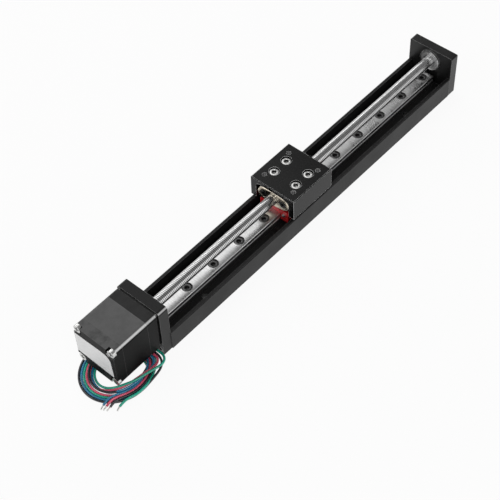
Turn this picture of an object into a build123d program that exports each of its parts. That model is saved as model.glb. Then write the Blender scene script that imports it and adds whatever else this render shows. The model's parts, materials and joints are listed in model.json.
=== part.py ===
from build123d import *
import math
import os

os.makedirs("parts", exist_ok=True)

# A compact motorized linear slide, in millimetres.
# X runs along the slide from the motor to the free end, Y across it and Z up.
# The origin is the middle of the base channel's underside.

# Base channel
base_length = 234.0
base_width = 29.2
base_height = 13.0
base_floor = 4.8
base_wall = 2.0
base_edge = 0.4
base_mount_hole_radius = 1.65
base_mount_inset = 32.0
base_mount_spacing_y = 15.0

# Guide rail and the screws that hold it down
rail_end_clearance = 2.0
rail_width = 9.0
rail_height = 6.5
rail_edge = 0.3
rail_hole_pitch = 20.0
rail_hole_margin = 5.0
rail_hole_radius = 1.75
rail_counterbore_radius = 3.0
rail_counterbore_depth = 3.5
rail_screw_tip_cover = 0.5
rail_screw_hole_cover = 0.3
track_height = 4.1
track_outset = 0.2
ball_radius = 0.8
ball_track_relief = 0.06
ball_pitch = 1.9
ball_row_margin = 1.0

# Screw sizes: thread, head and hexagon socket
m3_radius = 1.5
m3_head_radius = 2.75
m3_head_height = 3.0
m3_socket_flats = 2.5
m25_radius = 1.25
m25_head_radius = 2.25
m25_head_height = 2.5
m25_socket_flats = 2.0
m2_radius = 1.0
m2_head_radius = 1.15
m2_head_height = 0.7
socket_depth_share = 0.55
shank_sides = 6
screw_tip_clearance = 1.0
thread_clearance = 0.05
through_clearance = 0.15
tapped_m3_radius = 1.25

# End plates
plate_edge = 0.3
motor_plate_margin = 0.6
motor_plate_height = 33.8
motor_plate_thickness = 6.0
motor_plate_corner = 1.8
end_plate_height = 28.0
end_plate_thickness = 5.6
end_plate_corner = 0.8
plate_screw_inset = 2.6
plate_screw_height = 3.0
plate_screw_engagement = 5.0
plate_counterbore_depth = 2.8

# Lead screw
screw_axis_height = 20.0
screw_radius = 3.0
journal_radius = 2.5
screw_passage_clearance = 1.0

# End bearing, which stands proud of the plate's inner face
end_bearing_radius = 6.5
end_bearing_width = 4.0
end_bearing_proud = 1.0
end_bearing_wall = 1.0
end_bearing_ball_radius = 0.95
end_bearing_ball_count = 9
end_passage_radius = 4.4
race_clearance = 0.04
ball_cut_share = 0.55
shield_thickness = 0.2
shield_clearance = 0.25
seat_clearance = 0.01

# Motor
motor_width = 27.2
motor_corner = 2.2
motor_shoulder_inset = 0.8
motor_gap = 1.2
motor_cap_length = 6.3
motor_stack_length = 16.8
motor_pilot_radius = 11.0
motor_pilot_sink = 0.8
motor_cavity_radius = 12.0
motor_screw_inset = 2.1
motor_screw_plate_engagement = 4.0
pocket_radius = 3.3
pocket_depth = 2.2
rear_head_height = 1.9
rear_head_slot = 0.7
rear_head_slot_depth = 0.9
motor_bearing_radius = 5.5
motor_bearing_width = 3.0
motor_bearing_wall = 0.7
motor_bearing_ball_radius = 0.75
motor_bearing_ball_count = 8
motor_bearing_lip = 1.2
motor_back_wall = 0.8
spring_washer_thickness = 0.4
pole_count = 8
pole_width = 3.0
pole_shoe_width = 4.6
pole_shoe_thickness = 1.0
slot_radius = 11.9
winding_width = 5.8
winding_overhang = 1.8
winding_clearance = 0.1
rotor_radius = 7.7
rotor_gap = 0.3
rotor_core_length = 6.4
rotor_magnet_length = 2.0

# Carriage block
carriage_rest = -7.4
carriage_length = 31.2
carriage_width = 29.6
carriage_height = 13.4
carriage_edge = 0.4
recess_width = 22.6
recess_roof = 2.5
recess_corner = 2.5
recess_clearance = 0.5
block_screw_spacing_x = 10.0
block_screw_spacing_y = 15.0
block_counterbore_radius = 3.0
block_counterbore_depth = 3.6
block_screw_length = 12.0
table_hole_spacing = 20.0
table_hole_depth = 6.0

# Flange nut
nut_flange_thickness = 3.0
nut_waist_radius = 5.2
nut_end_radius = 4.2
nut_hole_spacing = 13.0
nut_barrel_radius = 4.4
nut_barrel_length = 20.0
nut_edge = 0.4
nut_running_clearance = 0.06
nut_bore_clearance = 0.1
nut_screw_head_radius = 2.3
nut_screw_head_height = 1.2
nut_screw_length = 6.5

# Ball slider that carries the carriage block
slider_width = 20.0
slider_height = 10.0
slider_inset = 1.25
slider_ground_clearance = 2.0
slider_rail_clearance = 0.35
slider_edge = 0.6
slider_return_radius = 1.0
slider_return_offset = 7.4
slider_thread_depth = 2.8
cap_length = 4.3
cap_inset = 0.3
cap_rail_clearance = 0.4
cap_corner = 1.0
seal_thickness = 0.6
seal_rail_clearance = 0.1
cap_screw_offset = 7.1
cap_screw_height = 11.6
cap_screw_depth = 6.0

# Motor leads: four thin wires, coiled loosely on the ground under the motor
lead_radius = 0.65
grommet_length = 6.0
grommet_side_near = 9.6
grommet_side_far = 3.6
grommet_drop = 2.5
grommet_tongue = 3.0
grommet_tongue_rise = 2.4
coil_behind_cap = 14.0
coil_centre_y = -2.6
coil_outer_x = 21.0
coil_outer_y = 19.0
coil_band = 9.6
coil_height = 2.8
lead_tip_radius = 0.42
lead_tip_length = 2.6
bend_share = 0.45

# Stations along X, worked out from the sizes above
base_end = base_length / 2
base_mount_spacing_x = base_length - 2 * base_mount_inset
rail_length = base_length - 2 * rail_end_clearance
rail_hole_count = int((rail_length - 2 * rail_hole_margin) / rail_hole_pitch) + 1
rail_top = base_floor + rail_height
rail_head_seat = rail_top - rail_counterbore_depth
rail_spots = [
    ((index - (rail_hole_count - 1) / 2) * rail_hole_pitch, 0) for index in range(rail_hole_count)
]
motor_plate_width = motor_width + 2 * motor_plate_margin
plate_screw_spacing = min(base_width, motor_plate_width) - 2 * plate_screw_inset
motor_screw_spacing = motor_width - 2 * motor_screw_inset
plate_rear = -base_end - motor_plate_thickness
motor_front = plate_rear - motor_gap
pilot_face = plate_rear + motor_pilot_sink
stack_front = motor_front - motor_cap_length
stack_rear = stack_front - motor_stack_length
motor_rear = stack_rear - motor_cap_length
stack_middle = (stack_front + stack_rear) / 2
coil_centre_x = stack_front - coil_behind_cap
motor_underside = screw_axis_height - motor_width / 2
front_bearing_front = pilot_face - motor_bearing_lip
rear_bearing_rear = motor_rear + motor_back_wall + spring_washer_thickness
end_bearing_front = base_end - end_bearing_proud
end_plate_outer = base_end + end_plate_thickness
slider_bottom = base_floor + slider_ground_clearance
slider_top = base_floor + slider_height
carriage_top = slider_top + carriage_height
recess_depth = nut_flange_thickness + recess_clearance
recess_top = carriage_top - recess_roof
carriage_front = carriage_rest - carriage_length / 2
flange_front = carriage_front + recess_clearance
slider_steel_length = carriage_length - 2 * (slider_inset + seal_thickness + cap_length)
balls_per_row = int((slider_steel_length - 2 * ball_row_margin) / ball_pitch) + 1
slider_front = carriage_rest - slider_steel_length / 2
slider_rear = carriage_rest + slider_steel_length / 2
track_z = base_floor + track_height
track_y = rail_width / 2 + track_outset
motor_screw_spots = [
    (side * motor_screw_spacing / 2, screw_axis_height + rise * motor_screw_spacing / 2)
    for side in (-1, 1)
    for rise in (-1, 1)
]
plate_screw_spots = [(side * plate_screw_spacing / 2, plate_screw_height) for side in (-1, 1)]
nut_spots = [(-nut_hole_spacing / 2, screw_axis_height), (nut_hole_spacing / 2, screw_axis_height)]
cap_screw_spots = [(-cap_screw_offset, cap_screw_height), (cap_screw_offset, cap_screw_height)]


def across(x, direction=1):
    """A plane across the slide at x, facing +X or -X, with its second axis pointing up."""
    return Plane(origin=(x, 0, 0), x_dir=(0, direction, 0), z_dir=(direction, 0, 0))


def save(builder, name):
    """Labels a finished piece and writes it to its own file."""
    builder.part.label = name
    export_step(builder.part, f"parts/{name}.step")


def socket_screws(name, plane, spots, radius, head_radius, head_height, flats, length):
    """Socket-head screws with the tops of their heads on the plane, pointing into it.

    Their shanks are out of sight, so these are six-sided, as are the holes around them.
    """
    with BuildPart() as screws:
        with BuildSketch(plane):
            with Locations(*spots):
                Circle(head_radius)
        extrude(amount=-head_height)
        with BuildSketch(plane.offset(-head_height)):
            with Locations(*spots):
                RegularPolygon(radius, shank_sides)
        extrude(amount=-length)
        with BuildSketch(plane):
            with Locations(*spots):
                RegularPolygon(flats / math.sqrt(3), 6)
        extrude(amount=-head_height * socket_depth_share, mode=Mode.SUBTRACT)
    save(screws, name)


def grid(spacing_x, spacing_y):
    """The four corners of a rectangle about the middle of the carriage."""
    return [
        (carriage_rest + side * spacing_x / 2, rise * spacing_y / 2)
        for side in (-1, 1)
        for rise in (-1, 1)
    ]


def faceted_ball(radius):
    """A ball as a cube with its edges and corners cut away, light enough to repeat."""
    with BuildPart() as ball:
        Box(2 * radius, 2 * radius, 2 * radius)
        chamfer(ball.edges(), radius * ball_cut_share)
    return ball.part


def ring_bearing(name, start, width, outer_radius, wall, ball_radius, ball_count):
    """A ball bearing around the screw's journal: outer ring, inner ring and balls."""
    for ring_name, outside, inside in (
        (name + "_outer_ring", outer_radius, outer_radius - wall),
        (name + "_inner_ring", journal_radius + wall, journal_radius),
    ):
        with BuildPart() as ring:
            with BuildSketch(across(start)):
                with Locations((0, screw_axis_height)):
                    Circle(outside)
                    Circle(inside, mode=Mode.SUBTRACT)
            extrude(amount=width)
        save(ring, ring_name)
    ball = faceted_ball(ball_radius)
    with BuildPart() as balls:
        with Locations(across(start + width / 2)):
            with Locations((0, screw_axis_height)):
                with PolarLocations((outer_radius + journal_radius) / 2, ball_count):
                    add(ball)
    save(balls, name + "_balls")


# Base channel: a wide U with holes for the rail screws, the end plates and the mounting screws
with BuildPart() as base_channel:
    with BuildSketch(across(-base_end)):
        Rectangle(base_width, base_height, align=(Align.CENTER, Align.MIN))
        chamfer(vertices().group_by(Axis.Y)[-1], base_edge)
        with Locations((0, base_floor)):
            Rectangle(
                base_width - 2 * base_wall,
                base_height,
                align=(Align.CENTER, Align.MIN),
                mode=Mode.SUBTRACT,
            )
    extrude(amount=base_length)
    with BuildSketch(Plane.XY.offset(base_floor)):
        with Locations(*rail_spots):
            RegularPolygon(m3_radius + thread_clearance, shank_sides)
    extrude(amount=rail_screw_hole_cover - base_floor, mode=Mode.SUBTRACT)
    with Locations(Plane.XY.offset(base_floor)):
        with GridLocations(base_mount_spacing_x, base_mount_spacing_y, 2, 2):
            Hole(base_mount_hole_radius, depth=base_floor)
    for end_face in (across(-base_end, -1), across(base_end)):
        with BuildSketch(end_face):
            with Locations(*plate_screw_spots):
                RegularPolygon(m25_radius + thread_clearance, shank_sides)
        extrude(amount=-plate_screw_engagement - screw_tip_clearance, mode=Mode.SUBTRACT)
save(base_channel, "base_channel")

# Guide rail with its two ball tracks and counterbored holes
with BuildPart() as guide_rail:
    with BuildSketch(across(-rail_length / 2)):
        with Locations((0, base_floor)):
            Rectangle(rail_width, rail_height, align=(Align.CENTER, Align.MIN))
        chamfer(vertices().group_by(Axis.Y)[-1], rail_edge)
        with Locations((-track_y, track_z), (track_y, track_z)):
            Circle(ball_radius + race_clearance, mode=Mode.SUBTRACT)
    extrude(amount=rail_length)
    with BuildSketch(Plane.XY.offset(rail_top)):
        with Locations(*rail_spots):
            Circle(rail_counterbore_radius)
    extrude(amount=-rail_counterbore_depth, mode=Mode.SUBTRACT)
    with BuildSketch(Plane.XY.offset(rail_head_seat)):
        with Locations(*rail_spots):
            RegularPolygon(rail_hole_radius, shank_sides)
    extrude(amount=base_floor - rail_head_seat, mode=Mode.SUBTRACT)
save(guide_rail, "guide_rail")

socket_screws(
    "rail_screws",
    Plane.XY.offset(rail_head_seat + m3_head_height),
    rail_spots,
    m3_radius,
    m3_head_radius,
    m3_head_height,
    m3_socket_flats,
    rail_head_seat - rail_screw_tip_cover,
)

# Motor plate: closes the channel and carries the motor on its rear face
with BuildPart() as motor_plate:
    with BuildSketch(across(plate_rear)):
        Rectangle(motor_plate_width, motor_plate_height, align=(Align.CENTER, Align.MIN))
        fillet(vertices().group_by(Axis.Y)[-1], motor_plate_corner)
        chamfer(vertices().group_by(Axis.Y)[0], plate_edge)
    extrude(amount=motor_plate_thickness)
    with BuildSketch(across(plate_rear)):
        with Locations((0, screw_axis_height)):
            Circle(motor_pilot_radius + seat_clearance)
    extrude(amount=motor_pilot_sink, mode=Mode.SUBTRACT)
    with Locations(across(plate_rear, -1)):
        with Locations((0, screw_axis_height)):
            Hole(screw_radius + screw_passage_clearance)
        with Locations(*plate_screw_spots):
            Hole(m25_head_radius + through_clearance, depth=plate_counterbore_depth)
    with BuildSketch(across(plate_rear)):
        with Locations(*motor_screw_spots):
            RegularPolygon(m25_radius + thread_clearance, shank_sides)
    extrude(amount=motor_screw_plate_engagement + screw_tip_clearance, mode=Mode.SUBTRACT)
    with BuildSketch(across(-base_end)):
        with Locations(*plate_screw_spots):
            RegularPolygon(m25_radius + through_clearance, shank_sides)
    extrude(amount=-motor_plate_thickness, mode=Mode.SUBTRACT)
save(motor_plate, "motor_plate")

# End plate: closes the far end and holds the screw's outboard bearing
with BuildPart() as end_plate:
    with BuildSketch(across(base_end)):
        Rectangle(base_width, end_plate_height, align=(Align.CENTER, Align.MIN))
        fillet(vertices().group_by(Axis.Y)[-1], end_plate_corner)
        chamfer(vertices().group_by(Axis.Y)[0], plate_edge)
    extrude(amount=end_plate_thickness)
    with BuildSketch(across(base_end)):
        with Locations((0, screw_axis_height)):
            Circle(end_bearing_radius + seat_clearance)
    extrude(amount=end_bearing_width - end_bearing_proud, mode=Mode.SUBTRACT)
    with Locations(across(end_plate_outer)):
        with Locations((0, screw_axis_height)):
            Hole(end_passage_radius)
        with Locations(*plate_screw_spots):
            Hole(m25_head_radius + through_clearance, depth=plate_counterbore_depth)
    with BuildSketch(across(base_end)):
        with Locations(*plate_screw_spots):
            RegularPolygon(m25_radius + through_clearance, shank_sides)
    extrude(amount=end_plate_thickness, mode=Mode.SUBTRACT)
save(end_plate, "end_plate")

for screw_name, face, thickness in (
    ("motor_plate_screws", across(plate_rear, -1), motor_plate_thickness),
    ("end_plate_screws", across(end_plate_outer), end_plate_thickness),
):
    socket_screws(
        screw_name,
        face.offset(m25_head_height - plate_counterbore_depth),
        plate_screw_spots,
        m25_radius,
        m25_head_radius,
        m25_head_height,
        m25_socket_flats,
        thickness - plate_counterbore_depth + plate_screw_engagement,
    )

# Lead screw: one shaft from the motor's rear bearing to the end bearing
with BuildPart() as lead_screw:
    with BuildSketch(Plane.XZ) as shaft_profile:
        with Locations((rear_bearing_rear, screw_axis_height)):
            Rectangle(
                end_plate_outer - rear_bearing_rear,
                journal_radius,
                align=(Align.MIN, Align.MIN),
            )
        with Locations((front_bearing_front, screw_axis_height)):
            Rectangle(
                end_bearing_front - front_bearing_front,
                screw_radius,
                align=(Align.MIN, Align.MIN),
            )
    revolve(axis=Axis((0, 0, screw_axis_height), (1, 0, 0)))
    chamfer(lead_screw.edges().filter_by(GeomType.CIRCLE).sort_by(Axis.X)[-1], plate_edge)
save(lead_screw, "lead_screw")

# Bearings
ring_bearing(
    "end_bearing",
    end_bearing_front,
    end_bearing_width,
    end_bearing_radius,
    end_bearing_wall,
    end_bearing_ball_radius,
    end_bearing_ball_count,
)
ring_bearing(
    "motor_front_bearing",
    front_bearing_front - motor_bearing_width,
    motor_bearing_width,
    motor_bearing_radius,
    motor_bearing_wall,
    motor_bearing_ball_radius,
    motor_bearing_ball_count,
)
ring_bearing(
    "motor_rear_bearing",
    rear_bearing_rear,
    motor_bearing_width,
    motor_bearing_radius,
    motor_bearing_wall,
    motor_bearing_ball_radius,
    motor_bearing_ball_count,
)

# Metal shields pressed into both faces of the end bearing's outer ring
with BuildPart() as end_bearing_shields:
    for shield_face in (end_bearing_front, end_bearing_front + end_bearing_width - shield_thickness):
        with BuildSketch(across(shield_face)):
            with Locations((0, screw_axis_height)):
                Circle(end_bearing_radius - end_bearing_wall)
                Circle(journal_radius + end_bearing_wall + shield_clearance, mode=Mode.SUBTRACT)
        extrude(amount=shield_thickness)
save(end_bearing_shields, "end_bearing_shields")


def motor_outline(inset=0):
    """Draws the motor's square outline, with its corners rounded, in the current sketch."""
    with Locations((0, screw_axis_height)):
        Rectangle(motor_width - 2 * inset, motor_width - 2 * inset)
    fillet(vertices(), motor_corner - inset)


# Motor front cap: shoulder and pilot boss, bearing seat and a cavity over the windings
with BuildPart() as motor_front_cap:
    with BuildSketch(across(motor_front)):
        motor_outline()
    extrude(amount=-motor_cap_length)
    with BuildSketch(across(motor_front)):
        motor_outline(motor_shoulder_inset)
    extrude(amount=motor_gap)
    with BuildSketch(across(motor_front)):
        with Locations((0, screw_axis_height)):
            Circle(motor_pilot_radius)
    extrude(amount=pilot_face - motor_front)
    with BuildSketch(across(stack_front)):
        with Locations((0, screw_axis_height)):
            Circle(motor_cavity_radius)
    extrude(amount=front_bearing_front - motor_bearing_width - stack_front, mode=Mode.SUBTRACT)
    with Locations(across(front_bearing_front - motor_bearing_width, -1)):
        with Locations((0, screw_axis_height)):
            Hole(motor_bearing_radius + seat_clearance, depth=motor_bearing_width)
            Hole(screw_radius + screw_passage_clearance, depth=motor_bearing_width + motor_bearing_lip)
    with BuildSketch(across(plate_rear)):
        with Locations(*motor_screw_spots):
            RegularPolygon(m25_radius + through_clearance, shank_sides)
    extrude(amount=-motor_gap - motor_cap_length, mode=Mode.SUBTRACT)
    with Locations((stack_front, -grommet_side_near, motor_underside)):
        Box(
            grommet_tongue,
            grommet_side_near - grommet_side_far,
            grommet_tongue_rise,
            align=(Align.MIN, Align.MIN, Align.MIN),
            mode=Mode.SUBTRACT,
        )
save(motor_front_cap, "motor_front_cap")

# Motor rear cap: bearing seat, cavity, and a pocket at each corner for a screw head
with BuildPart() as motor_rear_cap:
    with BuildSketch(across(stack_rear)):
        motor_outline()
    extrude(amount=-motor_cap_length)
    with BuildSketch(across(stack_rear)):
        with Locations((0, screw_axis_height)):
            Circle(motor_cavity_radius)
    extrude(amount=rear_bearing_rear + motor_bearing_width - stack_rear, mode=Mode.SUBTRACT)
    with BuildSketch(across(rear_bearing_rear + motor_bearing_width)):
        with Locations((0, screw_axis_height)):
            Circle(motor_bearing_radius + seat_clearance)
    bore_depth = motor_rear + motor_back_wall - rear_bearing_rear - motor_bearing_width
    extrude(amount=bore_depth, mode=Mode.SUBTRACT)
    with BuildSketch(across(motor_rear)):
        with Locations(*motor_screw_spots):
            Circle(pocket_radius)
    extrude(amount=pocket_depth, mode=Mode.SUBTRACT)
    with BuildSketch(across(stack_rear)):
        with Locations(*motor_screw_spots):
            RegularPolygon(m25_radius + through_clearance, shank_sides)
    extrude(amount=pocket_depth - motor_cap_length, mode=Mode.SUBTRACT)
save(motor_rear_cap, "motor_rear_cap")

# Stator: a stack of laminations with eight poles
pole_root = slot_radius + pole_width / 4
pole_tip = rotor_radius + rotor_gap
with BuildPart() as stator_stack:
    with BuildSketch(across(stack_rear)):
        motor_outline()
    extrude(amount=motor_stack_length)
    with BuildSketch(across(stack_rear)) as slots:
        with Locations((0, screw_axis_height)):
            Circle(slot_radius)
            with PolarLocations((pole_root + pole_tip) / 2, pole_count):
                Rectangle(pole_root - pole_tip, pole_width, mode=Mode.SUBTRACT)
            with PolarLocations(pole_tip + pole_shoe_thickness / 2, pole_count):
                Rectangle(pole_shoe_thickness, pole_shoe_width, mode=Mode.SUBTRACT)
            Circle(pole_tip)
    extrude(amount=motor_stack_length, mode=Mode.SUBTRACT)
    with BuildSketch(across(stack_rear)):
        with Locations(*motor_screw_spots):
            RegularPolygon(m25_radius + through_clearance, shank_sides)
    extrude(amount=motor_stack_length, mode=Mode.SUBTRACT)
save(stator_stack, "stator_stack")

# Windings: one coil around each pole, with end turns in the caps' cavities
winding_inner = pole_tip + pole_shoe_thickness + winding_clearance
winding_outer = math.sqrt((slot_radius - winding_clearance) ** 2 - (winding_width / 2) ** 2)
with BuildPart() as stator_windings:
    with BuildSketch(across(stack_rear - winding_overhang)):
        with Locations((0, screw_axis_height)):
            with PolarLocations((winding_inner + winding_outer) / 2, pole_count):
                Rectangle(winding_outer - winding_inner, winding_width)
    extrude(amount=motor_stack_length + 2 * winding_overhang)
    with BuildSketch(across(stack_rear - winding_clearance)):
        with Locations((0, screw_axis_height)):
            with PolarLocations((winding_inner + winding_outer) / 2, pole_count):
                Rectangle(winding_outer - winding_inner, pole_width + 2 * winding_clearance)
    extrude(amount=motor_stack_length + 2 * winding_clearance, mode=Mode.SUBTRACT)
save(stator_windings, "stator_windings")

# Rotor: two iron cores on the shaft with a disc magnet between them
with BuildPart() as rotor_cores:
    for core_start in (
        stack_middle - rotor_magnet_length / 2 - rotor_core_length,
        stack_middle + rotor_magnet_length / 2,
    ):
        with BuildSketch(across(core_start)):
            with Locations((0, screw_axis_height)):
                Circle(rotor_radius)
                Circle(journal_radius, mode=Mode.SUBTRACT)
        extrude(amount=rotor_core_length)
save(rotor_cores, "rotor_cores")

with BuildPart() as rotor_magnet:
    with BuildSketch(across(stack_middle - rotor_magnet_length / 2)):
        with Locations((0, screw_axis_height)):
            Circle(rotor_radius - rotor_gap)
            Circle(journal_radius, mode=Mode.SUBTRACT)
    extrude(amount=rotor_magnet_length)
save(rotor_magnet, "rotor_magnet")

# Spring washer that loads the rear bearing
with BuildPart() as spring_washer:
    with BuildSketch(across(motor_rear + motor_back_wall)):
        with Locations((0, screw_axis_height)):
            Circle(motor_bearing_radius - through_clearance)
            Circle(motor_bearing_radius - motor_bearing_wall, mode=Mode.SUBTRACT)
    extrude(amount=spring_washer_thickness)
save(spring_washer, "spring_washer")

# Four long screws through the motor into the plate, with cross-slotted pan heads
rear_head_seat = motor_rear + pocket_depth
with BuildPart() as motor_screws:
    with BuildSketch(across(rear_head_seat)):
        with Locations(*motor_screw_spots):
            Circle(m25_head_radius)
    extrude(amount=-rear_head_height)
    with BuildSketch(across(rear_head_seat)):
        with Locations(*motor_screw_spots):
            RegularPolygon(m25_radius, shank_sides)
    extrude(amount=plate_rear + motor_screw_plate_engagement - rear_head_seat)
    with BuildSketch(across(rear_head_seat - rear_head_height)):
        with Locations(*motor_screw_spots):
            Rectangle(m25_head_radius * 1.3, rear_head_slot)
            Rectangle(rear_head_slot, m25_head_radius * 1.3)
    extrude(amount=rear_head_slot_depth, mode=Mode.SUBTRACT)
save(motor_screws, "motor_screws")

# Carriage block: a recess at each end for the nut's flange, open at the bottom
with BuildPart() as carriage_block:
    with BuildSketch(Plane.XY.offset(slider_top)):
        with Locations((carriage_rest, 0)):
            Rectangle(carriage_length, carriage_width)
    extrude(amount=carriage_height)
    chamfer(carriage_block.faces().sort_by(Axis.Z)[-1].edges(), carriage_edge)
    for recess_face in (across(carriage_front), across(carriage_rest + carriage_length / 2, -1)):
        with BuildSketch(recess_face):
            with Locations((0, slider_top)):
                Rectangle(recess_width, recess_top - slider_top, align=(Align.CENTER, Align.MIN))
            fillet(vertices().group_by(Axis.Y)[-1], recess_corner)
        extrude(amount=recess_depth, mode=Mode.SUBTRACT)
    with BuildSketch(across(carriage_front)):
        with Locations((0, screw_axis_height)):
            Circle(nut_barrel_radius + nut_bore_clearance)
    extrude(amount=carriage_length, mode=Mode.SUBTRACT)
    with Locations(Plane.XY.offset(carriage_top)):
        with Locations(*grid(block_screw_spacing_x, block_screw_spacing_y)):
            Hole(block_counterbore_radius, depth=block_counterbore_depth)
        with Locations(*grid(table_hole_spacing, table_hole_spacing)):
            Hole(tapped_m3_radius, depth=table_hole_depth)
    with BuildSketch(Plane.XY.offset(slider_top)):
        with Locations(*grid(block_screw_spacing_x, block_screw_spacing_y)):
            RegularPolygon(m3_radius + through_clearance, shank_sides)
    extrude(amount=carriage_height, mode=Mode.SUBTRACT)
    with BuildSketch(across(carriage_front + recess_depth)):
        with Locations(*nut_spots):
            RegularPolygon(m25_radius + thread_clearance, shank_sides)
    extrude(amount=nut_screw_length - nut_flange_thickness + through_clearance, mode=Mode.SUBTRACT)
save(carriage_block, "carriage_block")

socket_screws(
    "carriage_screws",
    Plane.XY.offset(carriage_top - block_counterbore_depth + m3_head_height),
    grid(block_screw_spacing_x, block_screw_spacing_y),
    m3_radius,
    m3_head_radius,
    m3_head_height,
    m3_socket_flats,
    block_screw_length,
)

# Flange nut: an oval flange against the block and a barrel inside it
with BuildPart() as flange_nut:
    with BuildSketch(across(flange_front)):
        with Locations((0, screw_axis_height)):
            Circle(nut_waist_radius)
        with Locations(*nut_spots):
            Circle(nut_end_radius)
        make_hull()
    extrude(amount=nut_flange_thickness)
    chamfer(flange_nut.faces().sort_by(Axis.X)[0].edges(), nut_edge)
    with BuildSketch(across(flange_front + nut_flange_thickness)):
        with Locations((0, screw_axis_height)):
            Circle(nut_barrel_radius)
    extrude(amount=nut_barrel_length)
    with Locations(across(flange_front, -1)):
        with Locations((0, screw_axis_height)):
            Hole(screw_radius + nut_running_clearance)
        with Locations(*nut_spots):
            CounterSinkHole(
                m25_radius + through_clearance,
                nut_screw_head_radius + through_clearance,
                depth=nut_flange_thickness,
            )
save(flange_nut, "flange_nut")

# Two countersunk screws that hold the nut
with BuildPart() as nut_screws:
    with Locations(across(flange_front, -1)):
        with Locations(*nut_spots):
            Cone(
                m25_radius,
                nut_screw_head_radius,
                nut_screw_head_height,
                align=(Align.CENTER, Align.CENTER, Align.MAX),
            )
    with BuildSketch(across(flange_front)):
        with Locations(*nut_spots):
            RegularPolygon(m25_radius, shank_sides)
    extrude(amount=nut_screw_length)
    with BuildSketch(across(flange_front)):
        with Locations(*nut_spots):
            RegularPolygon(m25_socket_flats / math.sqrt(3), 6)
    extrude(amount=nut_screw_head_height, mode=Mode.SUBTRACT)
save(nut_screws, "nut_screws")

# Slider: the steel body that straddles the rail
with BuildPart() as slider_body:
    with BuildSketch(across(slider_front)):
        with Locations((0, slider_bottom)):
            Rectangle(slider_width, slider_top - slider_bottom, align=(Align.CENTER, Align.MIN))
        chamfer(vertices(), slider_edge)
        with Locations((0, slider_bottom)):
            Rectangle(
                rail_width + 2 * slider_rail_clearance,
                rail_top + slider_rail_clearance - slider_bottom,
                align=(Align.CENTER, Align.MIN),
                mode=Mode.SUBTRACT,
            )
        with Locations((-track_y, track_z), (track_y, track_z)):
            Circle(ball_radius + race_clearance, mode=Mode.SUBTRACT)
        with Locations((-slider_return_offset, track_z), (slider_return_offset, track_z)):
            Circle(slider_return_radius, mode=Mode.SUBTRACT)
    extrude(amount=slider_steel_length)
    with BuildSketch(Plane.XY.offset(slider_top)):
        with Locations(*grid(block_screw_spacing_x, block_screw_spacing_y)):
            RegularPolygon(m3_radius + thread_clearance, shank_sides)
    extrude(amount=-slider_thread_depth, mode=Mode.SUBTRACT)
    for cap_face in (across(slider_front, -1), across(slider_rear)):
        with BuildSketch(cap_face):
            with Locations(*cap_screw_spots):
                RegularPolygon(m2_radius + thread_clearance, shank_sides)
        extrude(amount=cap_length - cap_screw_depth, mode=Mode.SUBTRACT)
save(slider_body, "slider_body")

# Load-bearing balls between the slider and the rail's tracks
track_ball = faceted_ball(ball_radius - ball_track_relief)
with BuildPart() as slider_balls:
    for side in (-1, 1):
        for index in range(balls_per_row):
            ball_x = carriage_rest + (index - (balls_per_row - 1) / 2) * ball_pitch
            with Locations((ball_x, side * track_y, track_z)):
                add(track_ball)
save(slider_balls, "slider_balls")


def bridge(name, start, length, inset, rail_gap):
    """A moulded end piece in the slider's outline, cut out around the rail."""
    with BuildPart() as piece:
        with BuildSketch(across(start)):
            with Locations((0, slider_bottom + inset)):
                Rectangle(
                    slider_width - 2 * inset,
                    slider_top - slider_bottom - 2 * inset,
                    align=(Align.CENTER, Align.MIN),
                )
            fillet(vertices(), cap_corner)
            with Locations((0, slider_bottom)):
                Rectangle(
                    rail_width + 2 * rail_gap,
                    rail_top + rail_gap - slider_bottom,
                    align=(Align.CENTER, Align.MIN),
                    mode=Mode.SUBTRACT,
                )
            with Locations(*cap_screw_spots):
                RegularPolygon(m2_radius + through_clearance, shank_sides, mode=Mode.SUBTRACT)
        extrude(amount=length)
    save(piece, name)


bridge("slider_cap_front", slider_front, -cap_length, cap_inset, cap_rail_clearance)
bridge("slider_cap_rear", slider_rear, cap_length, cap_inset, cap_rail_clearance)
bridge("seal_front", slider_front - cap_length, -seal_thickness, cap_inset, seal_rail_clearance)
bridge("seal_rear", slider_rear + cap_length, seal_thickness, cap_inset, seal_rail_clearance)

# Small pan-head screws through the seals and caps into the slider
with BuildPart() as slider_cap_screws:
    for head_face in (
        across(slider_front - cap_length - seal_thickness, -1),
        across(slider_rear + cap_length + seal_thickness),
    ):
        with BuildSketch(head_face):
            with Locations(*cap_screw_spots):
                Circle(m2_head_radius)
        extrude(amount=m2_head_height)
        with BuildSketch(head_face):
            with Locations(*cap_screw_spots):
                RegularPolygon(m2_radius, shank_sides)
        extrude(amount=-cap_screw_depth)
save(slider_cap_screws, "slider_cap_screws")

# Grommet under the motor where the four leads leave it
with BuildPart() as lead_grommet:
    with Locations((stack_front, -grommet_side_near, motor_underside - grommet_drop)):
        Box(
            grommet_length,
            grommet_side_near - grommet_side_far,
            grommet_drop,
            align=(Align.MIN, Align.MIN, Align.MIN),
        )
    with Locations((stack_front, -grommet_side_near, motor_underside)):
        Box(
            grommet_tongue,
            grommet_side_near - grommet_side_far,
            grommet_tongue_rise,
            align=(Align.MIN, Align.MIN, Align.MIN),
        )
save(lead_grommet, "lead_grommet")

# The coil that the four leads are wound into, as one band on the ground
with BuildPart() as lead_coil:
    with BuildSketch(Plane.XY):
        with Locations((coil_centre_x, coil_centre_y)):
            Ellipse(coil_outer_x, coil_outer_y)
            Ellipse(coil_outer_x - coil_band, coil_outer_y - coil_band, mode=Mode.SUBTRACT)
    extrude(amount=coil_height)
save(lead_coil, "lead_coil")


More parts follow.
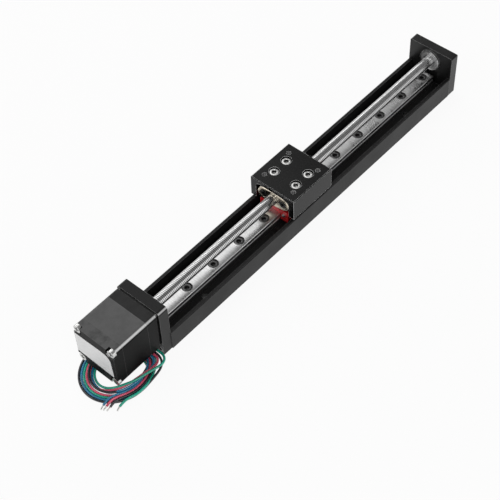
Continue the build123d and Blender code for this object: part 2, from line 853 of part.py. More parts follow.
def bend_radii(points):
    """One arc for each inner point of a route, as large as its two runs allow."""
    radii = []
    for before, here, after in zip(points, points[1:], points[2:]):
        run_in = Vector(here) - Vector(before)
        run_out = Vector(after) - Vector(here)
        half_turn = math.radians(run_in.get_angle(run_out)) / 2
        radii.append(bend_share * min(run_in.length, run_out.length) / math.tan(half_turn))
    return radii


def tube(points, radius):
    """A round section and its path: straight runs joined by tangent arcs."""
    radii = bend_radii(points)
    with BuildLine() as route:
        if radii:
            FilletPolyline(*points, radius=radii)
        else:
            Line(*points)
    start = Vector(points[0])
    with BuildSketch(Plane(origin=start, z_dir=Vector(points[1]) - start)) as section:
        Circle(radius)
    return section.sketch, route.wires()[0], radii


def behind_cap(points):
    """Moves points given from the front cap's rear face to their place under the motor."""
    return [(stack_front + x, y, z) for x, y, z in points]


# Leads: from the grommet down onto the coil, and from the coil to the stripped ends
lead_routes = {
    "lead_blue": [(0.9, -9.6, 5.1), (0.9, -14.2, 4.9), (-2.6, -17.2, 4.2), (-10.5, -17.2, 2.0)],
    "lead_red": [(2.3, -9.6, 5.1), (2.3, -15.9, 4.9), (-2.2, -18.6, 4.2), (-10.5, -18.6, 2.0)],
    "lead_black": [(3.7, -9.6, 5.1), (3.7, -16.6, 4.9), (-1.4, -20.0, 4.2), (-10.5, -20.0, 2.0)],
    "lead_green": [(5.1, -9.6, 5.1), (5.1, -17.1, 4.9), (-0.6, -21.4, 4.2), (-10.5, -21.4, 2.0)],
}
lead_ends = {
    "lead_blue": [(-28.7, -11.0, 1.2), (-33.3, -12.2, 0.8)],
    "lead_red": [(-27.9, -13.0, 1.2), (-32.7, -13.8, 0.8)],
    "lead_black": [(-26.9, -15.0, 1.2), (-31.9, -15.5, 0.8)],
    "lead_green": [(-23.7, -17.2, 1.2), (-28.7, -18.8, 0.8)],
}
for lead_name in lead_routes:
    first_section, first_path, first_radii = tube(behind_cap(lead_routes[lead_name]), lead_radius)
    last_section, last_path, last_radii = tube(behind_cap(lead_ends[lead_name]), lead_radius)
    with BuildPart() as lead:
        sweep(sections=first_section, path=first_path)
        sweep(sections=last_section, path=last_path)
    bends = ", ".join(f"{radius:.1f}" for radius in first_radii + last_radii)
    expected = math.pi * lead_radius**2 * (first_path.length + last_path.length)
    share = lead.part.volume / expected
    print(f"{lead_name}: bend radii {bends} mm, volume {share:.4f} of section times length")
    save(lead, lead_name)

# Tinned ends of the leads
with BuildPart() as lead_tips:
    for before, end in (behind_cap(route) for route in lead_ends.values()):
        heading = Vector(end) - Vector(before)
        with BuildSketch(Plane(origin=end, z_dir=heading)):
            Circle(lead_tip_radius)
        extrude(amount=lead_tip_length)
save(lead_tips, "lead_tips")
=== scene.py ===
import bpy
import json
import math
from mathutils import Matrix, Vector


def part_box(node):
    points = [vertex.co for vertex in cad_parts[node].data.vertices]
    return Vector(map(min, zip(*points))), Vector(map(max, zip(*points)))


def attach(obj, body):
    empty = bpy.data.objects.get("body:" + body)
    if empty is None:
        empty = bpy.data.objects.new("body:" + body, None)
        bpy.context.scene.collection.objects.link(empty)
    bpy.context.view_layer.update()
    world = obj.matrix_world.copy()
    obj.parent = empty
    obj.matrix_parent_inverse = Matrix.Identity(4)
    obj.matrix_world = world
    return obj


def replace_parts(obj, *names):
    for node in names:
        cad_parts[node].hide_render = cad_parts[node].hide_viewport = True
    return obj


# The looks of a compact motorized linear slide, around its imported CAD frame.
# X runs along the slide from the motor to the free end, Y across it and Z up.
# Places and lengths on the object are in millimetres, and MM turns them into Blender's metres.
MM = 0.001

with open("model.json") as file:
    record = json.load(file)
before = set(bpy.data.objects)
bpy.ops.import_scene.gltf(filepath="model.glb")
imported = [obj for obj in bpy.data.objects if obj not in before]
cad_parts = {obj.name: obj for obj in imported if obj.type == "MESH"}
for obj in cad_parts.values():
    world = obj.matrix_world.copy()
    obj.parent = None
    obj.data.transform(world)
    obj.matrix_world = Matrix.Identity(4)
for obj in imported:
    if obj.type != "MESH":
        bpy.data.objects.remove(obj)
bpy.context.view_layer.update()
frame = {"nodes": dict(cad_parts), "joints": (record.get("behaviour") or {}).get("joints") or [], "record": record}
joints = {joint["name"]: joint for joint in frame["joints"]}
mounts = {mount["name"]: mount for mount in frame["record"]["mounts"]}


def box_mm(node):
    """A node's lowest and highest corners at rest, in millimetres."""
    low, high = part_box(node)
    return [c / MM for c in low], [c / MM for c in high]


# Places that the CAD frame gives
SCREW_AXIS_Z = joints["screw_spin"]["pos_m"][2] / MM
CARRIAGE_X = mounts["carriage_table"]["pos_m"][0] / MM
CARRIAGE_TOP = mounts["carriage_table"]["pos_m"][2] / MM
TABLE_HOLES = mounts["carriage_threads"]["dims"]
MOTOR_REAR = box_mm("motor_rear_cap")[0][0]
SHAFT_REAR = box_mm("lead_screw")[0][0]
SHAFT_END = box_mm("lead_screw")[1][0]

# Sizes of the lead screw and its thread
SCREW_RADIUS = 3.0
JOURNAL_RADIUS = 2.5
THREAD_ROOT = 2.78
CORE_RADIUS = 2.64
THREAD_LEAD = 1.0
THREAD_START, THREAD_END = -116.0, 114.0
MOTOR_SHOULDER, BEARING_SHOULDER = -123.4, 116.0
SCREW_CHAMFER = 0.2


def new_object(name, data):
    """A new object in the scene."""
    made = bpy.data.objects.new(name, data)
    bpy.context.scene.collection.objects.link(made)
    return made


# Camera, fitted to edges read off the photo, in metres
CAMERA_PLACE = Vector((-0.366746, -0.307405, 0.540941))
CAMERA_RIGHT = Vector((0.658543, -0.751878, -0.031625))
CAMERA_DOWN = Vector((-0.595059, -0.494544, -0.633507))
CAMERA_FORWARD = Vector((0.46068, 0.43601, -0.773091))


def photo_camera():
    data = bpy.data.cameras.new("photo_camera")
    data.sensor_width = 36.0
    data.lens = 94.836
    data.clip_start = 0.01
    data.clip_end = 20.0
    camera = new_object("photo_camera", data)
    turn = Matrix((CAMERA_RIGHT, -CAMERA_DOWN, -CAMERA_FORWARD)).transposed()
    camera.matrix_world = Matrix.Translation(CAMERA_PLACE) @ turn.to_4x4()
    bpy.context.scene.camera = camera


photo_camera()


# Shader building blocks
FINE_BUMP = 0.03 * MM
LAMINATION_PITCH = 0.987 * MM


def rgb(colour):
    """Three channels from a colour, or from one number for a grey."""
    return tuple(colour) if hasattr(colour, "__len__") else (colour, colour, colour)


def tinted(colour, share):
    """A colour times a share, held at white."""
    return tuple(min(1.0, c * share) for c in rgb(colour))


def new_material(name):
    material = bpy.data.materials.new(name)
    material.use_nodes = True
    nodes = material.node_tree.nodes
    links = material.node_tree.links
    return material, nodes, links, nodes["Principled BSDF"]


def mapped(nodes, links, scale=(1, 1, 1), shift=(0, 0, 0)):
    """Object coordinates, stretched and then shifted."""
    where = nodes.new("ShaderNodeTexCoord")
    stretch = nodes.new("ShaderNodeMapping")
    stretch.inputs["Location"].default_value = shift
    stretch.inputs["Scale"].default_value = scale
    links.new(where.outputs["Object"], stretch.inputs["Vector"])
    return stretch.outputs["Vector"]


def noise(nodes, links, vector, scale, detail=3.0, rough=0.55):
    texture = nodes.new("ShaderNodeTexNoise")
    texture.inputs["Scale"].default_value = scale
    texture.inputs["Detail"].default_value = detail
    texture.inputs["Roughness"].default_value = rough
    links.new(vector, texture.inputs["Vector"])
    return texture.outputs["Fac"]


def ramp(nodes, links, value, *stops):
    """A colour ramp with (position, colour) stops."""
    node = nodes.new("ShaderNodeValToRGB")
    band = node.color_ramp
    while len(band.elements) < len(stops):
        band.elements.new(0.5)
    for element, (position, colour) in zip(band.elements, stops):
        element.position = position
        element.color = (*rgb(colour), 1.0)
    links.new(value, node.inputs["Fac"])
    return node.outputs["Color"]


def spread(nodes, links, value, start, end, lowest=0.0):
    """Turns a value into a share: lowest at start and 1 at end."""
    node = nodes.new("ShaderNodeMapRange")
    node.inputs["From Min"].default_value = start
    node.inputs["From Max"].default_value = end
    node.inputs["To Min"].default_value = lowest
    links.new(value, node.inputs["Value"])
    return node.outputs["Result"]


def plug(links, socket, value):
    """Links another socket to this one, or sets a number or colour."""
    if isinstance(value, bpy.types.NodeSocket):
        links.new(value, socket)
    elif socket.type == "RGBA":
        socket.default_value = (*rgb(value), 1.0)
    else:
        socket.default_value = value


def arithmetic(nodes, links, operation, *values):
    node = nodes.new("ShaderNodeMath")
    node.operation = operation
    for socket, value in zip(node.inputs, values):
        plug(links, socket, value)
    return node.outputs["Value"]


def mix_colour(nodes, links, share, first, second):
    """The first colour where the share is 0, the second where it is 1."""
    node = nodes.new("ShaderNodeMix")
    node.data_type = "RGBA"
    links.new(share, node.inputs["Factor"])
    plug(links, node.inputs["A"], first)
    plug(links, node.inputs["B"], second)
    return node.outputs["Result"]


def normal_parts(nodes, links):
    """The surface normal's X, Y and Z outputs."""
    split = nodes.new("ShaderNodeSeparateXYZ")
    links.new(nodes.new("ShaderNodeNewGeometry").outputs["Normal"], split.inputs[0])
    return split.outputs


def bump(nodes, links, shader, height, strength, distance=FINE_BUMP):
    node = nodes.new("ShaderNodeBump")
    node.inputs["Strength"].default_value = strength
    node.inputs["Distance"].default_value = distance
    links.new(height, node.inputs["Height"])
    links.new(node.outputs["Normal"], shader.inputs["Normal"])


def worn_and_highlit_edges(nodes, links, colour, edge, width, start, full):
    """Lightens sharp edges, where a bevelled normal leaves the true one: partly wear, partly a painted edge
    highlight.
    """
    bevel = nodes.new("ShaderNodeBevel")
    bevel.samples = 12
    bevel.inputs["Radius"].default_value = width
    match = nodes.new("ShaderNodeVectorMath")
    match.operation = "DOT_PRODUCT"
    links.new(bevel.outputs["Normal"], match.inputs[0])
    links.new(nodes.new("ShaderNodeNewGeometry").outputs["Normal"], match.inputs[1])
    return mix_colour(nodes, links, spread(nodes, links, match.outputs["Value"], start, full), colour, edge)


def painted_corner_highlight(nodes, links, colour, corner):
    """Paints a highlight on the rounded long edge between a top and the -Y side, where light catches it."""
    normal = normal_parts(nodes, links)
    # Y times Z is -0.5 where the surface looks midway between up and -Y
    midway = arithmetic(nodes, links, "MULTIPLY", normal["Y"], normal["Z"])
    return mix_colour(nodes, links, spread(nodes, links, midway, -0.36, -0.50), colour, corner)


# Kinds of material
def anodised(name, shade, rough, specular, edge, edge_width=0.22 * MM, grain=9000.0, corner=None):
    """Black anodised aluminium: fine blasted grain, faint cloudiness, edges worn lighter with a painted edge
    highlight, and where asked a painted highlight along the rounded long edge towards -Y.
    """
    material, nodes, links, shader = new_material(name)
    here = mapped(nodes, links)
    cloud = noise(nodes, links, here, 55.0, 4.0)
    speck = noise(nodes, links, here, 2600.0, 2.0)
    blend = nodes.new("ShaderNodeMix")
    blend.inputs["Factor"].default_value = 0.35
    links.new(cloud, blend.inputs["A"])
    links.new(speck, blend.inputs["B"])
    colour = ramp(nodes, links, blend.outputs["Result"], (0.3, shade * 0.7), (0.7, shade * 1.35))
    # A painted highlight along the rounded long edge towards -Y.
    if corner is not None:
        colour = painted_corner_highlight(nodes, links, colour, corner)
    # Edges lightened: partly wear, partly a painted edge highlight.
    colour = worn_and_highlit_edges(nodes, links, colour, edge, edge_width, 0.975, 0.91)
    roughness = ramp(nodes, links, cloud, (0.3, rough - 0.05), (0.7, rough + 0.07))
    links.new(colour, shader.inputs["Base Color"])
    links.new(roughness, shader.inputs["Roughness"])
    shader.inputs["Specular IOR Level"].default_value = specular
    bump(nodes, links, shader, noise(nodes, links, here, grain, 2.0), 0.22)
    return material


def steel(name, colour, rough, streak=(3, 900, 900), strength=0.12, metallic=1.0):
    """Machined metal: streaks along the direction of grinding, slight colour change."""
    material, nodes, links, shader = new_material(name)
    lines = noise(nodes, links, mapped(nodes, links, streak), 6.0, 4.0)
    cloud = noise(nodes, links, mapped(nodes, links), 90.0, 3.0)
    shade = ramp(nodes, links, lines, (0.3, tinted(colour, 0.80)), (0.7, tinted(colour, 1.12)))
    roughness = ramp(nodes, links, cloud, (0.3, rough - 0.04), (0.7, rough + 0.06))
    links.new(shade, shader.inputs["Base Color"])
    links.new(roughness, shader.inputs["Roughness"])
    shader.inputs["Metallic"].default_value = metallic
    bump(nodes, links, shader, lines, strength)
    return material


def shaded_thread_roots(material):
    """Paints shade into the roots of the lead screw's thread, darker towards the root."""
    nodes, links = material.node_tree.nodes, material.node_tree.links
    base_colour = nodes["Principled BSDF"].inputs["Base Color"]
    reach = nodes.new("ShaderNodeVectorMath")
    reach.operation = "LENGTH"
    from_axis = mapped(nodes, links, scale=(0, 1, 1), shift=(0, 0, -SCREW_AXIS_Z * MM))
    links.new(from_axis, reach.inputs[0])
    root, crest = (THREAD_ROOT + 0.02) * MM, (SCREW_RADIUS - 0.03) * MM
    # Painted shade: 0.28 of the colour at the root, the full colour at the crest.
    lit = spread(nodes, links, reach.outputs["Value"], root, crest, lowest=0.28)
    links.new(mix_colour(nodes, links, lit, 0.0, base_colour.links[0].from_socket), base_colour)
    return material


def plastic(name, colour, rough, specular=0.5, strength=0.15):
    """Moulded plastic or rubber: fine surface texture, uneven gloss and a little colour change."""
    material, nodes, links, shader = new_material(name)
    here = mapped(nodes, links)
    cloud = noise(nodes, links, here, 120.0, 3.0)
    shade = ramp(nodes, links, cloud, (0.3, tinted(colour, 0.82)), (0.7, tinted(colour, 1.15)))
    roughness = ramp(nodes, links, cloud, (0.3, rough - 0.06), (0.7, rough + 0.08))
    links.new(shade, shader.inputs["Base Color"])
    links.new(roughness, shader.inputs["Roughness"])
    shader.inputs["Specular IOR Level"].default_value = specular
    bump(nodes, links, shader, noise(nodes, links, here, 4000.0, 2.0), strength, 0.04 * MM)
    return material


def insulation(name, colour):
    """Glossy insulation of a lead."""
    return plastic(name, colour, 0.22, specular=0.75, strength=0.06)


def motor_paint_lit_top(name, top, corner, blotch, laminated=False):
    """Matte motor paint with painted light: faces that look up are painted lighter than the near-black sides, with
    a painted highlight along the rounded long edge towards -Y and edges worn lighter with a painted edge
    highlight.
    """
    material, nodes, links, shader = new_material(name)
    # The near-black painted shade of the sides.
    sides = 0.005
    here = mapped(nodes, links)
    cloud = noise(nodes, links, here, 70.0, 4.0)
    stain = noise(nodes, links, here, 160.0, 5.0, 0.7)
    painted_side_shade = ramp(nodes, links, cloud, (0.3, sides * 0.7), (0.7, sides * 1.3))
    painted_top_light = ramp(nodes, links, stain, (0.36, top * (1 - blotch)), (0.56, top))
    # Painted light: faces that look up take the lighter top colour, the sides the painted shade.
    lit_top_share = spread(nodes, links, normal_parts(nodes, links)["Z"], 0.35, 0.95)
    colour = mix_colour(nodes, links, lit_top_share, painted_side_shade, painted_top_light)
    # A painted highlight along the rounded long edge towards -Y.
    colour = painted_corner_highlight(nodes, links, colour, corner)
    colour = worn_and_highlit_edges(nodes, links, colour, 0.14, 0.15 * MM, 0.97, 0.80)
    links.new(colour, shader.inputs["Base Color"])
    links.new(ramp(nodes, links, cloud, (0.3, 0.36), (0.7, 0.46)), shader.inputs["Roughness"])
    shader.inputs["Specular IOR Level"].default_value = 0.06
    height = noise(nodes, links, here, 5000.0, 2.0)
    if laminated:
        height = lamination_height(nodes, links, here, height)
    bump(nodes, links, shader, height, 0.12)
    return material


def lamination_height(nodes, links, here, grain):
    """The paint's grain with the waves of the laminations across X."""
    wave = nodes.new("ShaderNodeTexWave")
    wave.bands_direction = "X"
    # A wave texture turns by 20 radians in each unit of its scaled coordinate
    wave.inputs["Scale"].default_value = 2 * math.pi / 20 / LAMINATION_PITCH
    wave.inputs["Distortion"].default_value = 0.3
    links.new(here, wave.inputs["Vector"])
    return arithmetic(nodes, links, "MULTIPLY_ADD", grain, 0.6, wave.outputs["Fac"])


def label_foil():
    """Pale brushed foil."""
    material, nodes, links, shader = new_material("label_foil")
    lines = noise(nodes, links, mapped(nodes, links, (900, 4, 900)), 5.0, 4.0)
    cloud = noise(nodes, links, mapped(nodes, links), 160.0, 3.0)
    links.new(ramp(nodes, links, lines, (0.3, 0.72), (0.7, 0.82)), shader.inputs["Base Color"])
    links.new(ramp(nodes, links, cloud, (0.3, 0.40), (0.7, 0.52)), shader.inputs["Roughness"])
    shader.inputs["Metallic"].default_value = 0.35
    bump(nodes, links, shader, lines, 0.06, 0.02 * MM)
    return material


# Materials of the slide
channel_black = anodised("channel_black", 0.008, 0.40, specular=0.20, edge=0.12)
plate_black = anodised("plate_black", 0.008, 0.32, specular=0.30, edge=0.30)
# The motor plate gets a painted highlight along its -Y top edge.
motor_plate_black = anodised("motor_plate_black", 0.008, 0.34, specular=0.17, edge=0.30, corner=0.55)
# The carriage's near-white edges are partly wear, partly a painted edge highlight.
carriage_black = anodised(
    "carriage_black", 0.0035, 0.24, specular=0.18, edge=0.85, edge_width=0.26 * MM, grain=7000.0
)
# Motor tops painted lighter than their sides, as if lit from above, with a painted highlight along the -Y edge.
stack_black = motor_paint_lit_top("stack_black", top=0.120, corner=0.75, blotch=0.12, laminated=True)
rear_black = motor_paint_lit_top("rear_black", top=0.112, corner=0.75, blotch=0.35)
front_black = motor_paint_lit_top("front_black", top=0.034, corner=0.60, blotch=0.20)

rail_steel = steel("rail_steel", 0.64, 0.28, streak=(260, 30, 30), strength=0.05)
screw_steel = shaded_thread_roots(steel("screw_steel", 0.63, 0.20, streak=(700, 60, 60), strength=0.02))
bearing_steel = steel("bearing_steel", 0.72, 0.30, streak=(900, 30, 30), strength=0.06)
shield_steel = steel("shield_steel", 0.62, 0.46, streak=(900, 30, 30), strength=0.06)
slider_steel = steel("slider_steel", (0.55, 0.56, 0.58), 0.32)
rotor_iron = steel("rotor_iron", (0.30, 0.30, 0.31), 0.45, streak=(900, 200, 200))
copper = steel("copper", (0.72, 0.34, 0.18), 0.35, streak=(40, 1800, 1800), strength=0.35)
tinned = steel("tinned", (0.82, 0.82, 0.80), 0.30, streak=(60, 2500, 2500), strength=0.5)
nut_metal = steel("nut_metal", (0.78, 0.70, 0.57), 0.22, streak=(500, 500, 40), strength=0.12)

EVEN_GRAIN = (300, 300, 300)
bright_screw = steel("bright_screw", (0.62, 0.62, 0.61), 0.28, EVEN_GRAIN, strength=0.06)
black_screw = steel("black_screw", 0.10, 0.30, EVEN_GRAIN, strength=0.06, metallic=0.9)
# Painted shade for the walls of the screws' hexagon sockets.
socket_shade = steel("socket_shade", 0.030, 0.50, EVEN_GRAIN, strength=0.10, metallic=0.6)
# Bare thread metal darkened to paint the shade inside the tapped holes.
shaded_bare_thread = steel("shaded_bare_thread", 0.26, 0.34, EVEN_GRAIN, strength=0.10)

red_plastic = plastic("red_plastic", (0.62, 0.02, 0.025), 0.28)
black_rubber = plastic("black_rubber", (0.014, 0.014, 0.015), 0.5)
wire_black = insulation("wire_black", (0.010, 0.012, 0.020))
wire_green = insulation("wire_green", (0.010, 0.40, 0.27))
wire_red = insulation("wire_red", (0.76, 0.10, 0.18))
wire_blue = insulation("wire_blue", (0.02, 0.20, 0.36))


# CAD nodes that keep their shape and get a finish
dress = {
    channel_black: ["base_channel"],
    plate_black: ["end_plate"],
    motor_plate_black: ["motor_plate"],
    carriage_black: ["carriage_block"],
    front_black: ["motor_front_cap"],
    rear_black: ["motor_rear_cap"],
    stack_black: ["stator_stack"],
    rail_steel: ["guide_rail"],
    slider_steel: ["slider_body"],
    bearing_steel: [
        "end_bearing_outer_ring", "end_bearing_inner_ring", "end_bearing_balls",
        "motor_front_bearing_outer_ring", "motor_front_bearing_inner_ring", "motor_front_bearing_balls",
        "motor_rear_bearing_outer_ring", "motor_rear_bearing_inner_ring", "motor_rear_bearing_balls",
        "slider_balls", "spring_washer",
    ],
    shield_steel: ["end_bearing_shields"],
    bright_screw: ["motor_screws", "slider_cap_screws"],
    black_screw: ["nut_screws", "motor_plate_screws", "end_plate_screws"],
    rotor_iron: ["rotor_cores", "rotor_magnet"],
    copper: ["stator_windings"],
    nut_metal: ["flange_nut"],
    red_plastic: ["slider_cap_front", "slider_cap_rear", "seal_front", "seal_rear"],
    black_rubber: ["lead_grommet"],
    tinned: ["lead_tips"],
}
for material, names in dress.items():
    for name in names:
        node = frame["nodes"][name]
        node.data.materials.clear()
        node.data.materials.append(material)


# Leads
LEAD_DIAMETER = 1.3
COIL_X, COIL_Y = -144.5, -2.6
COIL_INNER_X, COIL_INNER_Y = 12.05, 10.05
COIL_WIDTH = 8.3
COIL_STEP = 20.0


def on_coil(s, w, z):
    """A point of the loose coil: s degrees clockwise from +X, w from its inner to its outer edge."""
    phi = -math.radians(s)
    return (
        COIL_X + (COIL_INNER_X + COIL_WIDTH * w) * math.cos(phi),
        COIL_Y + (COIL_INNER_Y + COIL_WIDTH * w) * math.sin(phi),
        z,
    )


def turns(keys):
    """Points along the coil's turns, eased from one (s, w, z) key to the next."""
    points = []
    s = keys[0][0]
    while s < keys[-1][0]:
        for (s0, w0, z0), (s1, w1, z1) in zip(keys, keys[1:]):
            if s0 <= s <= s1:
                t = (s - s0) / (s1 - s0)
                t = t * t * (3 - 2 * t)
                points.append(on_coil(s, w0 + (w1 - w0) * t, z0 + (z1 - z0) * t))
                break
        s += COIL_STEP
    return points


def lead(name, material, points):
    """One lead as a smooth round cord through its route's points."""
    curve = bpy.data.curves.new(name, "CURVE")
    curve.dimensions = "3D"
    curve.resolution_u = 4
    curve.bevel_depth = LEAD_DIAMETER / 2 * MM
    curve.bevel_resolution = 4
    curve.use_fill_caps = True
    spline = curve.splines.new("NURBS")
    spline.points.add(len(points) - 1)
    for point, (x, y, z) in zip(spline.points, points):
        point.co = (x * MM, y * MM, z * MM, 1.0)
    spline.order_u = 3
    spline.use_endpoint_u = True
    curve.materials.append(material)
    piece = new_object(name, curve)
    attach(piece, "stage")
    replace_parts(piece, name.replace("wire", "lead"), "lead_coil")


# Each route: material, slot, points from the grommet, keys of its turns, points to the bare end, and the
# whole length in metres
routes = {
    "wire_blue": (
        wire_blue, "blue_insulation",
        [
            (-129.6, -9.6, 5.1), (-129.6, -12.3, 5.1), (-130.2, -14.5, 5.1), (-131.9, -16.2, 4.9),
            (-134.4, -16.9, 4.6), (-139.4, -16.9, 4.0),
        ],
        [
            (92, 0.46, 3.4), (120, 0.40, 2.4), (150, 0.34, 0.9), (180, 0.24, 0.66), (205, 0.20, 0.66),
            (360, 0.20, 0.66), (430, 0.84, 0.66), (700, 0.84, 0.66), (760, 0.52, 1.84), (820, 0.52, 1.84),
            (834, 0.54, 1.84),
        ],
        [(-155.6, -13.4, 1.84), (-158.9, -12.0, 1.8), (-161.4, -11.9, 1.3), (-163.8, -12.2, 0.8)],
        0.235,
    ),
    "wire_red": (
        wire_red, "red_insulation",
        [
            (-128.2, -9.6, 5.1), (-128.2, -13.4, 5.2), (-128.7, -15.8, 5.4), (-130.4, -17.4, 5.4),
            (-133.0, -17.9, 5.2), (-138.4, -16.5, 4.5),
        ],
        [
            (92, 0.30, 3.8), (120, 0.20, 2.6), (150, 0.20, 1.0), (178, 0.28, 0.66), (205, 0.36, 0.66),
            (360, 0.36, 0.66), (430, 0.52, 0.66), (700, 0.52, 0.66), (760, 0.68, 1.84), (820, 0.68, 1.84),
            (834, 0.70, 1.84),
        ],
        [(-155.4, -15.1, 1.84), (-158.6, -13.8, 1.8), (-161.0, -13.6, 1.3), (-163.2, -13.8, 0.8)],
        0.226,
    ),
    "wire_black": (
        wire_black, "black_insulation",
        [
            (-126.8, -9.6, 5.1), (-126.8, -12.4, 4.9), (-126.8, -14.8, 4.4), (-127.6, -17.2, 3.7),
            (-129.5, -19.0, 3.0), (-132.4, -20.0, 2.5), (-138.5, -20.5, 1.7),
        ],
        [
            (92, 0.98, 0.9), (120, 1.0, 0.66), (360, 1.0, 0.66), (430, 0.38, 1.84), (690, 0.38, 1.84),
            (725, 0.62, 2.9), (760, 0.84, 1.84), (834, 0.84, 1.84),
        ],
        [(-155.2, -16.6, 1.84), (-158.2, -15.5, 1.7), (-160.4, -15.3, 1.3), (-162.4, -15.5, 0.8)],
        0.254,
    ),
    "wire_green": (
        wire_green, "green_insulation",
        [
            (-125.4, -9.6, 5.1), (-125.4, -13.0, 5.3), (-125.6, -16.2, 5.8), (-126.5, -18.4, 6.0),
            (-128.4, -19.9, 6.1), (-131.2, -20.2, 6.0), (-137.0, -18.4, 5.6),
        ],
        [
            (92, 0.44, 4.9), (118, 0.13, 3.5), (148, 0.05, 1.3), (180, 0.04, 0.66), (360, 0.04, 0.66),
            (430, 0.68, 0.66), (700, 0.68, 0.66), (760, 1.0, 1.84), (814, 1.0, 1.84),
        ],
        [(-149.6, -20.5, 1.84), (-153.2, -19.2, 1.7), (-156.3, -18.6, 1.3), (-159.2, -18.8, 0.8)],
        0.228,
    ),
}
for name, (material, slot, start, keys, end, length) in routes.items():
    lead(name, material, start + turns(keys) + end)


# Mesh building blocks
def circle(around):
    """The cosine and sine of evenly spaced angles, one full turn."""
    return [(math.cos(2 * math.pi * j / around), math.sin(2 * math.pi * j / around)) for j in range(around)]


def add_tube(vertices, faces, rings):
    """Adds a tube through rings that have as many points each."""
    base, around = len(vertices), len(rings[0])
    for ring in rings:
        vertices.extend(ring)
    for i in range(len(rings) - 1):
        for j in range(around):
            a = base + i * around + j
            b = base + i * around + (j + 1) % around
            faces.append((a, b, b + around, a + around))


def mesh_piece(name, vertices, faces, material, body, smooth_angle=None):
    """A piece that rides on a body, from points in millimetres."""
    mesh = bpy.data.meshes.new(name)
    mesh.from_pydata([tuple(c * MM for c in v) for v in vertices], [], faces)
    mesh.validate()
    mesh.update()
    mesh.materials.append(material)
    if smooth_angle is not None:
        mesh.shade_smooth()
        mesh.set_sharp_from_angle(angle=math.radians(smooth_angle))
    piece = new_object(name, mesh)
    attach(piece, body)
    return piece


# Lead screw
def thread_surface(vertices, faces):
    """A right-hand thread with flat crests, as one long helical strip."""
    around = 28
    profile = [(0.0, THREAD_ROOT), (0.14, THREAD_ROOT), (0.26, SCREW_RADIUS), (0.88, SCREW_RADIUS)]
    rows = int(round((THREAD_END - THREAD_START) / THREAD_LEAD)) * around
    for row in range(rows + 1):
        angle = 2 * math.pi * row / around
        x = THREAD_START + THREAD_LEAD * row / around
        for dx, radius in profile:
            vertices.append((x + dx, radius * math.cos(angle), SCREW_AXIS_Z + radius * math.sin(angle)))
    wide = len(profile)
    for row in range(rows):
        for i in range(wide - 1):
            a = row * wide + i
            faces.append((a, a + wide, a + wide + 1, a + 1))
        if row + around + 1 <= rows:
            a = row * wide + wide - 1
            b = (row + around) * wide
            faces.append((a, a + wide, b + wide, b))


def turned_surface(vertices, faces):
    """The screw's plain ends and collars, and its core under the thread."""
    stations = [
        (SHAFT_REAR, 0.0), (SHAFT_REAR, JOURNAL_RADIUS - SCREW_CHAMFER),
        (SHAFT_REAR + SCREW_CHAMFER, JOURNAL_RADIUS), (MOTOR_SHOULDER, JOURNAL_RADIUS),
        (MOTOR_SHOULDER, SCREW_RADIUS - SCREW_CHAMFER), (MOTOR_SHOULDER + SCREW_CHAMFER, SCREW_RADIUS),
        (THREAD_START + 0.8, SCREW_RADIUS), (THREAD_START + 1.2, CORE_RADIUS),
        (THREAD_END - 0.6, CORE_RADIUS), (THREAD_END + 0.2, SCREW_RADIUS),
        (BEARING_SHOULDER - SCREW_CHAMFER, SCREW_RADIUS), (BEARING_SHOULDER, SCREW_RADIUS - SCREW_CHAMFER),
        (BEARING_SHOULDER, JOURNAL_RADIUS), (SHAFT_END - 0.3, JOURNAL_RADIUS),
        (SHAFT_END, JOURNAL_RADIUS - 0.3), (SHAFT_END, 0.0),
    ]
    add_tube(vertices, faces, [
        [(x, radius * cosine, SCREW_AXIS_Z + radius * sine) for cosine, sine in circle(48)]
        for x, radius in stations
    ])


def threaded_shaft():
    vertices, faces = [], []
    thread_surface(vertices, faces)
    turned_surface(vertices, faces)
    return mesh_piece("threaded_screw", vertices, faces, screw_steel, "screw", 25)


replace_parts(threaded_shaft(), "lead_screw")


# Socket screws
M3_RADIUS = 1.5
M3_HEAD_RADIUS = 2.75
M3_HEAD_HEIGHT = 3.0
M3_SOCKET_FLATS = 2.5
M3_SOCKET_DEPTH = 1.65
SOCKET_AROUND = 48
HEXAGON = "hexagon"


def socket_profile(length):
    """Radius and height below the head's top, from the tip over the head to the socket's bottom."""
    return [
        (0.02, -length), (M3_RADIUS - 0.2, -length), (M3_RADIUS, 0.3 - length),
        (M3_RADIUS, -M3_HEAD_HEIGHT), (M3_HEAD_RADIUS - 0.15, -M3_HEAD_HEIGHT),
        (M3_HEAD_RADIUS, 0.15 - M3_HEAD_HEIGHT), (M3_HEAD_RADIUS, -0.55), (M3_HEAD_RADIUS - 0.03, -0.34),
        (M3_HEAD_RADIUS - 0.13, -0.16), (M3_HEAD_RADIUS - 0.27, -0.05), (M3_HEAD_RADIUS - 0.41, 0.0),
        (1.62, 0.0), (HEXAGON, -0.16), (HEXAGON, -M3_SOCKET_DEPTH), (0.02, -M3_SOCKET_DEPTH - 0.4),
    ]


def hexagon_reach():
    """How far the socket's hexagon reaches from its middle, all the way round."""
    reach = []
    for j in range(SOCKET_AROUND):
        angle = 2 * math.pi * j / SOCKET_AROUND
        inside = (angle + math.pi / 6) % (math.pi / 3) - math.pi / 6
        reach.append(M3_SOCKET_FLATS / 2 / math.cos(inside))
    return reach


